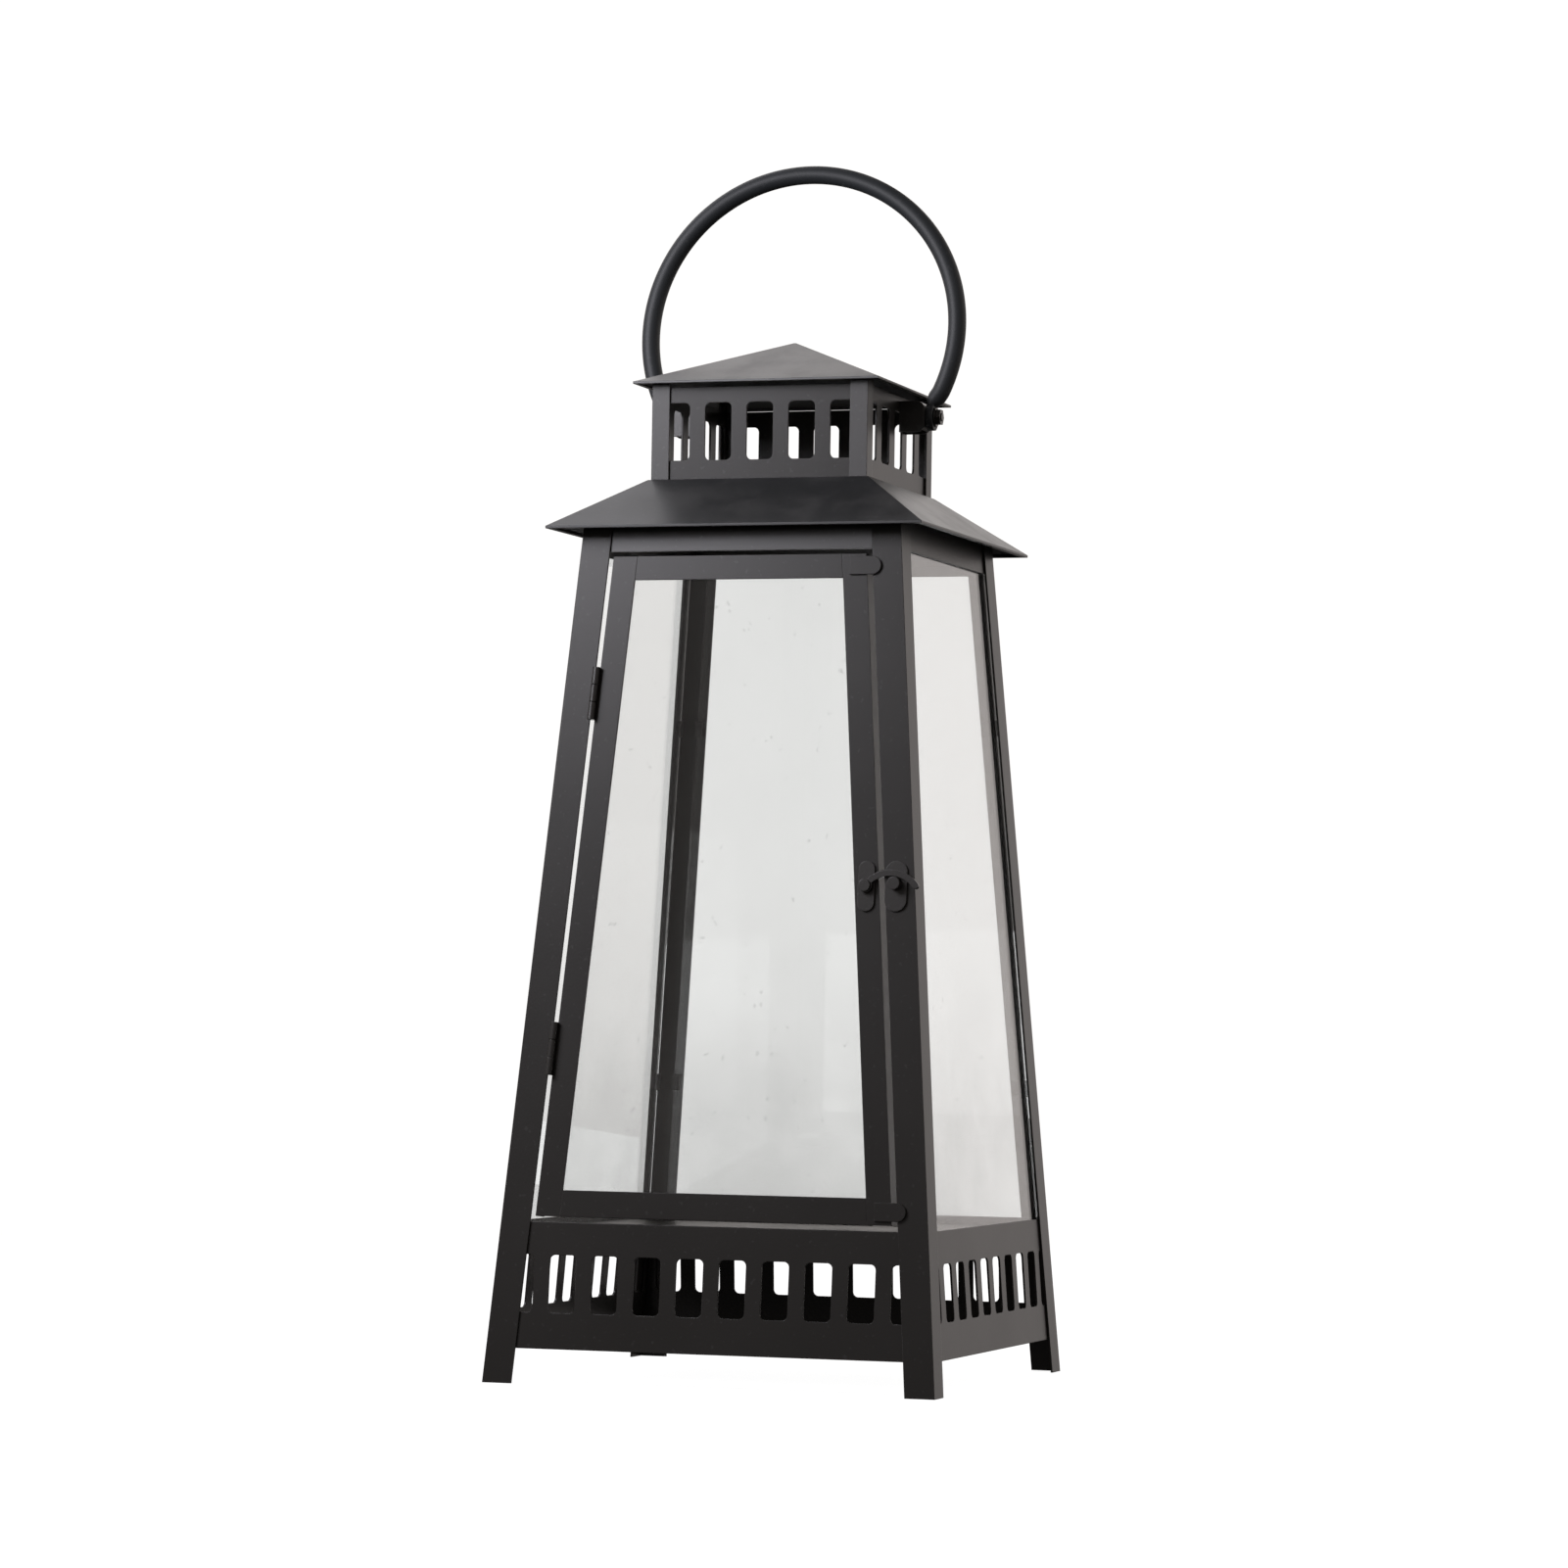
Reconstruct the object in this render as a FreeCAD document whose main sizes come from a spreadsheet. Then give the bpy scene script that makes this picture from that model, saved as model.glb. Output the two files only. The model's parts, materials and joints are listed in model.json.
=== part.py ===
"""Candle lantern: leaning sheet-metal body, glazed door, vented chimney with cap, and a ring handle.

Millimetres, +Z up, door facing -Y, origin on the ground under the middle of the lantern.
"""
import FreeCAD
import Part
import Sketcher
import math
import os

V = FreeCAD.Vector
AXIS_X = V(1, 0, 0)
AXIS_Y = V(0, 1, 0)
AXIS_Z = V(0, 0, 1)
QUARTER_TURN = 90
NUT_SIDES = 6
SIDES = ("front", "right", "back", "left")
CORNERS = ("front_right", "back_right", "back_left", "front_left")

DIMENSIONS = (
    # folded sheet and fits
    ("sheet", 1.0),
    ("seat_gap", 0.05),
    ("run_gap", 0.3),
    ("pin_gap", 0.05),
    # leaning body
    ("base_half", 110.5),
    ("lean_angle", 4.5),
    ("post_leg", 14.5),
    ("post_height", 412.5),
    ("skirt_bottom", 16.5),
    ("skirt_top", 75.8),
    ("skirt_slot_lift", 17.0),
    ("skirt_slot_head", 15.3),
    ("skirt_slot_end", 1.8),
    ("slot_width", 13.2),
    ("slot_corner", 2.6),
    ("skirt_slots", 10),
    ("header_drop", 20.18),
    ("header_height", 15.0),
    ("floor_drop", 4.8),
    ("glass", 2.0),
    ("pane_lap", 4.0),
    ("header_lap", 5.0),
    # roof, chimney and cap
    ("eave_overhang", 14.9),
    ("roof_angle", 33.5),
    ("hem_width", 2.4),
    ("chimney_half", 54.0),
    ("roof_ledge", 1.2),
    ("roof_rim", 7.0),
    ("chimney_leg", 8.8),
    ("chimney_height", 48.6),
    ("vent_gap", 4.2),
    ("chimney_slot_lift", 9.2),
    ("chimney_slot_head", 7.6),
    ("chimney_slot_end", 3.5),
    ("chimney_slots", 5),
    ("cap_overhang", 7.4),
    ("cap_angle", 22.0),
    ("cap_apex_half", 0.6),
    # door
    ("door_gap_bottom", 2.6),
    ("door_gap_top", 2.4),
    ("hinge_play", 0.8),
    ("door_gap_right", 2.8),
    ("door_depth", 9.5),
    ("stile_width", 12.0),
    ("top_rail", 11.4),
    ("bottom_rail", 12.4),
    ("door_glass_play", 0.2),
    ("tab_length", 15.2),
    ("tab_height", 8.6),
    ("tab_lap", 4.4),
    ("tab_thickness", 1.2),
    # hinges
    ("hinge_upper", 325.5),
    ("hinge_lower", 157.0),
    ("hinge_length", 25.0),
    ("knuckle_radius", 1.8),
    ("hinge_pin_radius", 0.8),
    ("leaf_thickness", 0.8),
    ("leaf_width", 9.0),
    # glass clips
    ("clip_sheet", 0.8),
    ("clip_height", 8.0),
    ("clip_reach", 3.0),
    ("clip_upper", 318.0),
    ("clip_lower", 140.0),
    # latch
    ("latch_height", 235.0),
    ("latch_plate_width", 8.0),
    ("latch_plate_height", 23.6),
    ("latch_plate_thickness", 1.0),
    ("catch_plate_width", 10.6),
    ("catch_inset", 8.9),
    ("stud_radius", 3.0),
    ("stud_length", 4.6),
    ("hook_arch_radius", 15.4),
    ("hook_arch_rise", 6.0),
    ("hook_half_width", 1.5),
    ("hook_thickness", 2.0),
    ("hook_eye_radius", 3.4),
    ("rivet_radius", 1.5),
    ("rivet_head_radius", 2.8),
    ("rivet_head", 1.2),
    # handle and its brackets
    ("pivot_below_top", 14.0),
    ("pivot_back", 7.0),
    ("bracket_clear", 4.2),
    ("bracket_strap", 1.5),
    ("bracket_height", 15.0),
    ("bracket_width", 12.0),
    ("bracket_round", 4.0),
    ("bolt_radius", 2.0),
    ("bolt_head_radius", 3.6),
    ("bolt_head", 2.4),
    ("eye_thickness", 3.4),
    ("eye_radius", 6.5),
    ("eye_tab_height", 13.0),
    ("handle_radius", 78.4),
    ("handle_rod", 4.4),
    ("neck_lift", 4.5),
    ("handle_tilt", 5.8),
    ("washer_radius", 4.6),
    ("washer_thickness", 0.6),
    ("nut_across", 7.0),
    ("nut_height", 2.4),
    ("bolt_tail", 0.5),
)

doc = FreeCAD.newDocument("candle_lantern")
sheet = doc.addObject("Spreadsheet::Sheet", "dims")
for row, (alias, value) in enumerate(DIMENSIONS, start=1):
    sheet.set("A%d" % row, alias)
    sheet.set("B%d" % row, str(value))
    sheet.setAlias("B%d" % row, alias)
doc.recompute()


def size(alias):
    """Value of one driving dimension."""
    return float(sheet.get(alias))


def value_of(text):
    """Number behind an expression over the driving dimensions."""
    return float(sheet.evalExpression(text))


LEAN = math.radians(size("lean_angle"))
CLEAR = size("seat_gap")
# Sizes that follow from the driving ones, as expressions; heights run up the slope
FLOOR_TOP = "(dims.skirt_top - dims.floor_drop)"
HEADER_FOOT = "(dims.post_height / cos(dims.lean_angle) - dims.header_drop)"
DOOR_FOOT = "(dims.skirt_top + dims.door_gap_bottom)"
DOOR_HEAD = "(%s - dims.door_gap_top)" % HEADER_FOOT
DOOR_GAP_LEFT = "(2 * dims.leaf_thickness + dims.hinge_play)"
DOOR_GLASS_MARGIN = "(dims.sheet + dims.clip_sheet + dims.door_glass_play)"
CAP_HALF = "(dims.chimney_half + dims.cap_overhang)"
BRACKET_REACH = "(dims.cap_overhang + dims.bracket_clear)"
EYE_START = "(dims.chimney_half + %s + dims.run_gap)" % BRACKET_REACH
HANDLE_RISE = ("(sqrt(dims.handle_radius ^ 2 - (%s + dims.eye_thickness / 2) ^ 2) + dims.neck_lift)"
               % EYE_START)
# Wall of each leaning side, counted from the outer face of the posts
PANEL_INSET = size("sheet") + CLEAR
PANE_INSET = 2 * size("sheet") + 2 * CLEAR

nodes = {}


def keep(obj, name, placement=None):
    """Register an object as the sub-part called name."""
    obj.Label = name
    if placement is not None:
        obj.Placement = placement
    nodes[name] = obj
    return obj


def shift(x=0, y=0, z=0):
    return FreeCAD.Placement(V(x, y, z), FreeCAD.Rotation())


def turn(axis, degrees):
    return FreeCAD.Placement(V(), FreeCAD.Rotation(axis, degrees))


def side_turn(index):
    return turn(AXIS_Z, QUARTER_TURN * index)


def face_frame(index, inset=0):
    """Frame on one leaning side: X across, Z up the slope, Y inward, origin at the foot of the outer face."""
    foot = shift(y=-size("base_half")) * turn(AXIS_X, -size("lean_angle"))
    return side_turn(index) * foot * shift(y=inset)


def make_body(name):
    return doc.addObject("PartDesign::Body", name)


def make_sketch(body, name, role, offset=None):
    """Sketch on one of the body's own origin planes."""
    plane = [p for p in body.Origin.OriginFeatures if getattr(p, "Role", "") == role][0]
    sketch = body.newObject("Sketcher::SketchObject", name)
    sketch.AttachmentSupport = [(plane, "")]
    sketch.MapMode = "FlatFace"
    if offset:
        sketch.setExpression("AttachmentOffset.Base.z", offset)
    return sketch


def polygon(sketch, corners):
    """Closed outline whose corners are pairs of expressions."""
    count = len(corners)
    spread = 50.0
    phase = 0.3
    first = sketch.GeometryCount
    guess = []
    for i in range(count):
        angle = phase + 2 * math.pi * i / count
        guess.append(V(spread * math.cos(angle), spread * math.sin(angle), 0))
    for i in range(count):
        sketch.addGeometry(Part.LineSegment(guess[i], guess[(i + 1) % count]), False)
    for i in range(count):
        joined = first + (i + 1) % count
        sketch.addConstraint(Sketcher.Constraint("Coincident", first + i, 2, joined, 1))
    for i, (across, up) in enumerate(corners):
        place = sketch.addConstraint(Sketcher.Constraint("DistanceX", -1, 1, first + i, 1, guess[i].x))
        sketch.setExpression("Constraints[%d]" % place, across)
        place = sketch.addConstraint(Sketcher.Constraint("DistanceY", -1, 1, first + i, 1, guess[i].y))
        sketch.setExpression("Constraints[%d]" % place, up)


def rectangle(sketch, left, right, bottom, top):
    polygon(sketch, [(left, bottom), (right, bottom), (right, top), (left, top)])


def pad(body, sketch, length, inward=False, both=False):
    """Pad of the sketch; inward pads an XZ sketch towards +Y."""
    feature = body.newObject("PartDesign::Pad", "pad_" + sketch.Name)
    feature.Profile = sketch
    feature.setExpression("Length", length)
    feature.Reversed = inward
    feature.Midplane = both
    body.Tip = feature
    return feature


def pocket(body, sketch, length, inward=False):
    feature = body.newObject("PartDesign::Pocket", "pocket_" + sketch.Name)
    feature.Profile = sketch
    feature.setExpression("Length", length)
    feature.Reversed = not inward
    body.Tip = feature
    return feature


def slope_half(take, up):
    """Expression for the half width of a side at a height up the slope, less what is taken off."""
    return "dims.base_half - (%s) - (%s) * sin(dims.lean_angle)" % (take, up)


def plate(name, outline, thickness, placement):
    """Flat plate: an XZ outline padded inward."""
    body = make_body(name)
    polygon(make_sketch(body, name + "_outline", "XZ_Plane"), outline)
    pad(body, body.Group[-1], thickness, inward=True)
    return keep(body, name, placement)


def punch_slots(body, name, count_alias, half, end, bottom, top):
    """Row of round-cornered slots through a plate, spread evenly over its half width less a plain end."""
    half_row = "(%s - dims.%s - dims.slot_width / 2)" % (half, end)
    left = "-%s - dims.slot_width / 2" % half_row
    right = "-%s + dims.slot_width / 2" % half_row
    sketch = make_sketch(body, name + "_slot", "XZ_Plane")
    rectangle(sketch, left, right, bottom, top)
    doc.recompute()
    blank = body.Tip.Shape
    first = pocket(body, sketch, "dims.sheet", inward=True)
    row = body.newObject("PartDesign::LinearPattern", name + "_row")
    row.Originals = [first]
    row.Direction = (sketch, ["H_Axis"])
    row.setExpression("Length", "2 * " + half_row)
    row.setExpression("Occurrences", "dims.%s" % count_alias)
    body.Tip = row
    doc.recompute()
    if row.Shape.Volume >= blank.Volume:
        raise RuntimeError(name + ": the slots cut nothing")
    corners = []
    for i, edge in enumerate(row.Shape.Edges, start=1):
        if edge.BoundBox.ZLength > CLEAR or edge.BoundBox.XLength > CLEAR:
            continue
        if blank.BoundBox.ZMin + CLEAR < edge.CenterOfMass.z < blank.BoundBox.ZMax - CLEAR:
            corners.append("Edge%d" % i)
    rounds = body.newObject("PartDesign::Fillet", name + "_rounds")
    rounds.Base = (row, corners)
    rounds.setExpression("Radius", "dims.slot_corner")
    body.Tip = rounds


def box(name, length, width, height, placement):
    obj = doc.addObject("Part::Box", name)
    for prop, text in (("Length", length), ("Width", width), ("Height", height)):
        obj.setExpression(prop, text)
    obj.Placement = placement
    return obj


def cylinder(name, radius, height, placement, sweep=None):
    obj = doc.addObject("Part::Cylinder", name)
    obj.setExpression("Radius", radius)
    obj.setExpression("Height", height)
    if sweep:
        obj.setExpression("Angle", sweep)
    obj.Placement = placement
    return obj


def fuse(name, parts):
    obj = doc.addObject("Part::MultiFuse", name)
    obj.Shapes = parts
    obj.Refine = True
    return obj


def cut(name, base, tool):
    obj = doc.addObject("Part::Cut", name)
    obj.Base = base
    obj.Tool = tool
    return obj


def build_posts():
    """Folded angle posts, lofted between a foot section and a top section."""
    top_half = "(dims.base_half - dims.post_height * tan(dims.lean_angle))"
    for index, corner in enumerate(CORNERS):
        name = "corner_post_" + corner
        body = make_body(name)
        sections = []
        for end, half, lift in (("foot", "dims.base_half", None), ("top", top_half, "dims.post_height")):
            sketch = make_sketch(body, "%s_%s" % (name, end), "XY_Plane", lift)
            outer = half
            inner = "%s - dims.sheet" % half
            leg = "%s - dims.post_leg" % half
            polygon(sketch, [(outer, "-(%s)" % outer), (outer, "-(%s)" % leg), (inner, "-(%s)" % leg),
                             (inner, "-(%s)" % inner), (leg, "-(%s)" % inner), (leg, "-(%s)" % outer)])
            sections.append(sketch)
        loft = body.newObject("PartDesign::AdditiveLoft", name + "_loft")
        loft.Profile = sections[0]
        loft.Sections = [sections[1]]
        loft.Ruled = True
        body.Tip = loft
        keep(body, name, side_turn(index))


def build_sides():
    """Slotted skirts, headers, fixed panes and the floor sheet."""
    wall = "2 * dims.sheet + 2 * dims.seat_gap"
    header_top = HEADER_FOOT + " + dims.header_height"
    pane_foot = ("%s / cos(dims.lean_angle) + dims.seat_gap"
                 " + (%s + dims.glass) * tan(dims.lean_angle)" % (FLOOR_TOP, wall))
    pane_head = HEADER_FOOT + " + dims.header_lap"
    for index, side in enumerate(SIDES):
        name = "skirt_" + side
        low = slope_half(wall, "dims.skirt_bottom")
        high = slope_half(wall, "dims.skirt_top")
        skirt = plate(name, [("-(%s)" % low, "dims.skirt_bottom"), (low, "dims.skirt_bottom"),
                             (high, "dims.skirt_top"), ("-(%s)" % high, "dims.skirt_top")],
                      "dims.sheet", face_frame(index, PANEL_INSET))
        punch_slots(skirt, name, "skirt_slots", "(%s)" % high, "skirt_slot_end",
                    "dims.skirt_bottom + dims.skirt_slot_lift", "dims.skirt_top - dims.skirt_slot_head")
        low = slope_half(wall, HEADER_FOOT)
        high = slope_half(wall, header_top)
        plate("header_" + side, [("-(%s)" % low, HEADER_FOOT), (low, HEADER_FOOT),
                                 (high, header_top), ("-(%s)" % high, header_top)],
              "dims.sheet", face_frame(index, PANEL_INSET))
        if side == "front":
            continue
        edge = "dims.post_leg - dims.pane_lap"
        low = slope_half(edge, pane_foot)
        high = slope_half(edge, pane_head)
        plate("glass_" + side, [("-(%s)" % low, pane_foot), (low, pane_foot),
                                (high, pane_head), ("-(%s)" % high, pane_head)],
              "dims.glass", face_frame(index, PANE_INSET))
    floor_half = ("(dims.base_half - %s * tan(dims.lean_angle)"
                  " - (2 * dims.sheet + 3 * dims.seat_gap) / cos(dims.lean_angle))" % FLOOR_TOP)
    body = make_body("floor_plate")
    sketch = make_sketch(body, "floor_outline", "XY_Plane", FLOOR_TOP + " - dims.sheet")
    rectangle(sketch, "-" + floor_half, floor_half, "-" + floor_half, floor_half)
    pad(body, sketch, "dims.sheet")
    keep(body, "floor_plate", shift())


def frustum(name, low_half, high_half, height, lift):
    """Square frustum standing on the height lift."""
    wedge = doc.addObject("Part::Wedge", name)
    for prop, text in (("Xmin", "-(%s)" % low_half), ("Xmax", low_half),
                       ("Zmin", "-(%s)" % low_half), ("Zmax", low_half),
                       ("X2min", "-(%s)" % high_half), ("X2max", high_half),
                       ("Z2min", "-(%s)" % high_half), ("Z2max", high_half),
                       ("Ymin", "0"), ("Ymax", height)):
        wedge.setExpression(prop, text)
    wedge.Placement = shift(z=lift) * turn(AXIS_X, QUARTER_TURN)
    return wedge


def square_block(name, half, height, lift):
    centre = shift(-half[1], -half[1], lift)
    return box(name, "2 * (%s)" % half[0], "2 * (%s)" % half[0], height, centre)


def build_roof_shell(name, eave, peak, pitch, lift, hole=None):
    """Hipped sheet roof: sloping shell, flat hem round the eave, and an optional square hole at the top.

    eave, peak and hole are pairs of an expression and its value.
    """
    rise = "(%s - (%s)) * tan(dims.%s)" % (eave[0], peak[0], pitch)
    skin = size("sheet") / math.cos(math.radians(size(pitch)))
    outer = frustum(name + "_outer", eave[0], peak[0], rise, lift + skin)
    inner = frustum(name + "_inner", eave[0], peak[0], rise, lift)
    shell = cut(name + "_shell", outer, inner)
    hem_inner = ("%s - dims.hem_width" % eave[0], eave[1] - size("hem_width"))
    hem_depth = "dims.sheet / cos(dims.%s)" % pitch
    ring = cut(name + "_hem", square_block(name + "_hem_outer", eave, hem_depth, lift),
               square_block(name + "_hem_inner", hem_inner, hem_depth, lift))
    whole = fuse(name + "_sheet", [shell, ring])
    if hole:
        drop = (eave[1] - peak[1]) * math.tan(math.radians(size(pitch)))
        opening = square_block(name + "_hole", hole, "4 * dims.sheet", lift + drop - size("sheet"))
        whole = cut(name + "_open", whole, opening)
    return keep(whole, name)


TOP_HALF = size("base_half") - size("post_height") * math.tan(LEAN)
EAVE_HALF = TOP_HALF + size("eave_overhang")
ROOF_TAN = math.tan(math.radians(size("roof_angle")))
EAVE_Z = size("post_height") + CLEAR - size("eave_overhang") * ROOF_TAN
ROOF_PEAK_HALF = size("chimney_half") + size("roof_ledge")
ROOF_SKIN = size("sheet") / math.cos(math.radians(size("roof_angle")))
CHIMNEY_Z = EAVE_Z + (EAVE_HALF - ROOF_PEAK_HALF) * ROOF_TAN + ROOF_SKIN + CLEAR
CHIMNEY_TOP = CHIMNEY_Z + size("chimney_height")
CAP_TAN = math.tan(math.radians(size("cap_angle")))
CAP_Z = CHIMNEY_TOP + CLEAR - size("cap_overhang") * CAP_TAN
PIVOT_Z = CHIMNEY_TOP - size("pivot_below_top")


def build_roofs():
    eave = ("(dims.base_half - dims.post_height * tan(dims.lean_angle) + dims.eave_overhang)", EAVE_HALF)
    peak = ("(dims.chimney_half + dims.roof_ledge)", ROOF_PEAK_HALF)
    hole = ("(dims.chimney_half - dims.roof_rim)", size("chimney_half") - size("roof_rim"))
    build_roof_shell("lower_roof", eave, peak, "roof_angle", EAVE_Z, hole)
    build_roof_shell("cap_roof", (CAP_HALF, value_of(CAP_HALF)),
                     ("dims.cap_apex_half", size("cap_apex_half")), "cap_angle", CAP_Z)


def build_chimney():
    """Four corner angles with a slotted panel behind each pair of legs."""
    outer = "dims.chimney_half"
    inner = "dims.chimney_half - dims.sheet"
    leg = "dims.chimney_half - dims.chimney_leg"
    for index, corner in enumerate(CORNERS):
        name = "chimney_corner_" + corner
        body = make_body(name)
        sketch = make_sketch(body, name + "_section", "XY_Plane")
        polygon(sketch, [(outer, "-(%s)" % outer), (outer, "-(%s)" % leg), (inner, "-(%s)" % leg),
                         (inner, "-(%s)" % inner), (leg, "-(%s)" % inner), (leg, "-(%s)" % outer)])
        pad(body, sketch, "dims.chimney_height")
        keep(body, name, shift(z=CHIMNEY_Z) * side_turn(index))
    half = "(dims.chimney_half - 2 * dims.sheet - 2 * dims.seat_gap)"
    top = "dims.chimney_height - dims.vent_gap"
    inset = shift(y=PANEL_INSET - size("chimney_half"), z=CHIMNEY_Z)
    for index, side in enumerate(SIDES):
        name = "chimney_panel_" + side
        panel = plate(name, [("-" + half, "0"), (half, "0"), (half, top), ("-" + half, top)],
                      "dims.sheet", side_turn(index) * inset)
        punch_slots(panel, name, "chimney_slots", half, "chimney_slot_end",
                    "dims.chimney_slot_lift", top + " - dims.chimney_slot_head")


def door_edges(up, take=""):
    """Expressions for the door's left and right edges at a height up the slope."""
    left = "-(%s)" % slope_half("dims.post_leg + " + DOOR_GAP_LEFT + take, up)
    right = slope_half("dims.post_leg + dims.door_gap_right" + take, up)
    return left, right


def build_door_frame():
    """Stiles run the full height, rails butt between them; each has a return along its outer edge."""
    face = face_frame(0)
    low, high = DOOR_FOOT, DOOR_HEAD
    outer_low, outer_high = door_edges(low), door_edges(high)
    inner_low = door_edges(low, " + dims.stile_width")
    inner_high = door_edges(high, " + dims.stile_width")
    fold_low = door_edges(low, " + dims.sheet")
    fold_high = door_edges(high, " + dims.sheet")
    for hand, name in enumerate(("door_left_stile", "door_right_stile")):
        stile = plate(name, [(outer_low[hand], low), (inner_low[hand], low),
                             (inner_high[hand], high), (outer_high[hand], high)], "dims.sheet", face)
        fold = make_sketch(stile, name + "_fold", "XZ_Plane")
        polygon(fold, [(outer_low[hand], low), (fold_low[hand], low),
                       (fold_high[hand], high), (outer_high[hand], high)])
        pad(stile, fold, "dims.door_depth", inward=True)
    join = " + dims.stile_width + dims.seat_gap"
    rails = (("door_bottom_rail", low, low + " + dims.bottom_rail", low, low + " + dims.sheet"),
             ("door_top_rail", high + " - dims.top_rail", high, high + " - dims.sheet", high))
    for name, foot, head, fold_foot, fold_head in rails:
        ends = door_edges(foot, join), door_edges(head, join)
        rail = plate(name, [(ends[0][0], foot), (ends[0][1], foot), (ends[1][1], head), (ends[1][0], head)],
                     "dims.sheet", face)
        ends = door_edges(fold_foot, join), door_edges(fold_head, join)
        fold = make_sketch(rail, name + "_fold", "XZ_Plane")
        polygon(fold, [(ends[0][0], fold_foot), (ends[0][1], fold_foot),
                       (ends[1][1], fold_head), (ends[1][0], fold_head)])
        pad(rail, fold, "dims.door_depth", inward=True)
    margin = " + " + DOOR_GLASS_MARGIN
    foot, head = low + margin, high + " - " + DOOR_GLASS_MARGIN
    ends = door_edges(foot, margin), door_edges(head, margin)
    plate("door_glass", [(ends[0][0], foot), (ends[0][1], foot), (ends[1][1], head), (ends[1][0], head)],
          "dims.glass", face_frame(0, PANEL_INSET))


def post_edge(up):
    """Distance of the front post's free edge from the middle of the side."""
    return size("base_half") - size("post_leg") - up * math.sin(LEAN)


def build_door_tabs():
    """Round-ended stop tabs on the door, lapping over the right post."""
    middles = (("door_stop_tab_upper", value_of(DOOR_HEAD) - size("top_rail") / 2),
               ("door_stop_tab_lower", value_of(DOOR_FOOT) + size("bottom_rail") / 2))
    for name, up in middles:
        nose = post_edge(up) + size("tab_lap") - size("tab_height") / 2
        frame = face_frame(0) * shift(nose, -CLEAR, up)
        back = size("tab_length") - size("tab_height") / 2
        strip = box(name + "_strip", "dims.tab_length - dims.tab_height / 2", "dims.tab_thickness",
                    "dims.tab_height",
                    frame * shift(-back, -size("tab_thickness"), -size("tab_height") / 2))
        end = cylinder(name + "_nose", "dims.tab_height / 2", "dims.tab_thickness",
                       frame * turn(AXIS_X, QUARTER_TURN))
        keep(fuse(name + "_fuse", [strip, end]), name)


def hinge_frame(up):
    """Frame on the hinge line: Z along the pin, X towards the door, Y inward."""
    across = -post_edge(up) + value_of(DOOR_GAP_LEFT) / 2
    swing_in = math.degrees(math.atan(math.sin(LEAN)))
    proud = size("knuckle_radius") + 2 * CLEAR
    return face_frame(0) * shift(across, -proud, up) * turn(AXIS_Y, swing_in)


def build_hinge(level):
    """Butt hinge: two knuckles on the post's leaf, one on the door's leaf, and a pin."""
    frame = hinge_frame(size("hinge_" + level))
    length = size("hinge_length")
    proud = size("knuckle_radius") + 2 * CLEAR
    third = length / 3
    bore_text = "dims.hinge_pin_radius + dims.pin_gap"
    outer_text = "dims.hinge_length / 3 - dims.run_gap / 2"
    leaf = size("leaf_thickness")
    half_gap = value_of(DOOR_GAP_LEFT) / 2

    name = "hinge_post_leaf_" + level
    back = proud + PANEL_INSET
    web_x = 2 * CLEAR - half_gap
    pieces = []
    for mark, low in (("low", -length / 2), ("high", length / 6 + size("run_gap") / 2)):
        pieces.append(cylinder("%s_knuckle_%s" % (name, mark), "dims.knuckle_radius", outer_text,
                               frame * shift(z=low)))
        pieces.append(box("%s_web_%s" % (name, mark), "dims.leaf_thickness",
                          "dims.knuckle_radius + dims.sheet + dims.leaf_thickness + 3 * dims.seat_gap",
                          outer_text, frame * shift(web_x, 0, low)))
    pieces.append(box(name + "_plate", "dims.leaf_width + dims.leaf_thickness", "dims.leaf_thickness",
                      "dims.hinge_length", frame * shift(web_x - size("leaf_width"), back, -length / 2)))
    bore = cylinder(name + "_bore", bore_text, "dims.hinge_length", frame * shift(z=-length / 2))
    keep(cut(name + "_cut", fuse(name + "_fuse", pieces), bore), name)

    name = "hinge_door_leaf_" + level
    inner_text = "dims.hinge_length / 3 - dims.run_gap"
    low = size("run_gap") / 2 - third / 2
    web_x = half_gap - 2 * CLEAR - leaf
    pieces = [
        cylinder(name + "_knuckle", "dims.knuckle_radius", inner_text, frame * shift(z=low)),
        box(name + "_web", "dims.leaf_thickness", "dims.knuckle_radius + 3 * dims.seat_gap", inner_text,
            frame * shift(web_x, 0, low)),
        box(name + "_plate", "dims.leaf_thickness", "dims.door_depth - dims.leaf_thickness",
            "dims.hinge_length", frame * shift(web_x, proud, -length / 2)),
    ]
    bore = cylinder(name + "_bore", bore_text, "dims.hinge_length", frame * shift(z=-length / 2))
    keep(cut(name + "_cut", fuse(name + "_fuse", pieces), bore), name)

    keep(cylinder("hinge_pin_%s_rod" % level, "dims.hinge_pin_radius", "dims.hinge_length",
                  frame * shift(z=-length / 2)), "hinge_pin_" + level)


def bent_clip(edge_x, edge_y, depth, hand):
    """Bent tongue: a foot beside the pane's edge and a finger over the pane's inner face."""
    thick = size("clip_sheet")
    height = size("clip_height")
    foot = Part.makeBox(thick, depth + thick, height, V(edge_x, edge_y, -height / 2))
    reach = size("clip_reach") + thick
    finger = Part.makeBox(reach, thick, height, V(edge_x + thick - reach, edge_y + depth, -height / 2))
    clip = foot.fuse(finger).removeSplitter()
    if hand < 0:
        clip = clip.mirror(V(), AXIS_X)
    return clip


def clip_group(name, frames):
    """One node holding several separate clips; frames pairs each placement with a clip."""
    clips = []
    for placement, clip in frames:
        placed = clip.copy()
        placed.Placement = placement
        clips.append(placed)
    group = doc.addObject("Part::Feature", name + "_group")
    group.Shape = Part.makeCompound(clips)
    keep(group, name, shift())


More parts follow.
